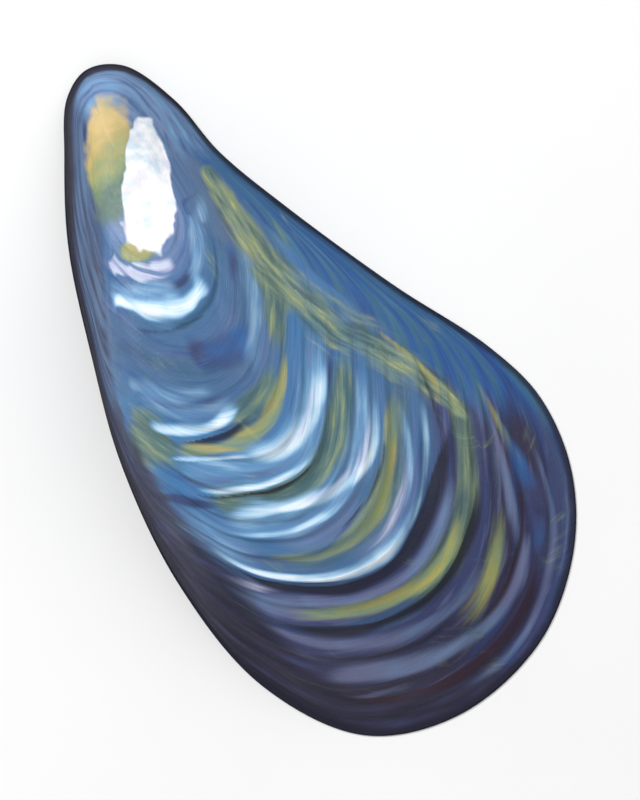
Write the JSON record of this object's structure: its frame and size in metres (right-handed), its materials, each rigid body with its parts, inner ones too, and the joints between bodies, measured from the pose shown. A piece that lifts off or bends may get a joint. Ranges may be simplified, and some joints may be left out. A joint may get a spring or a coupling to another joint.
{
  "type": "mussel shell",
  "caption": "Half shell of a blue mussel: a long teardrop dome with growth ridges and a pointed beak, hollow below, resting on its flat rim",
  "frame": {"origin": "middle of the bounding box at the level of the flat rim, under the shell", "axes": "+Z out of the shell's back, +Y along its length towards the beak, +X towards the hinge side"},
  "size_m": [0.0414, 0.0754, 0.0149],
  "materials": {
    "shell": "glossy, ridged outside and pearly inside"
  },
  "bodies": {
    "root": {"mussel_shell": "shell"}
  },
  "joints": []
}
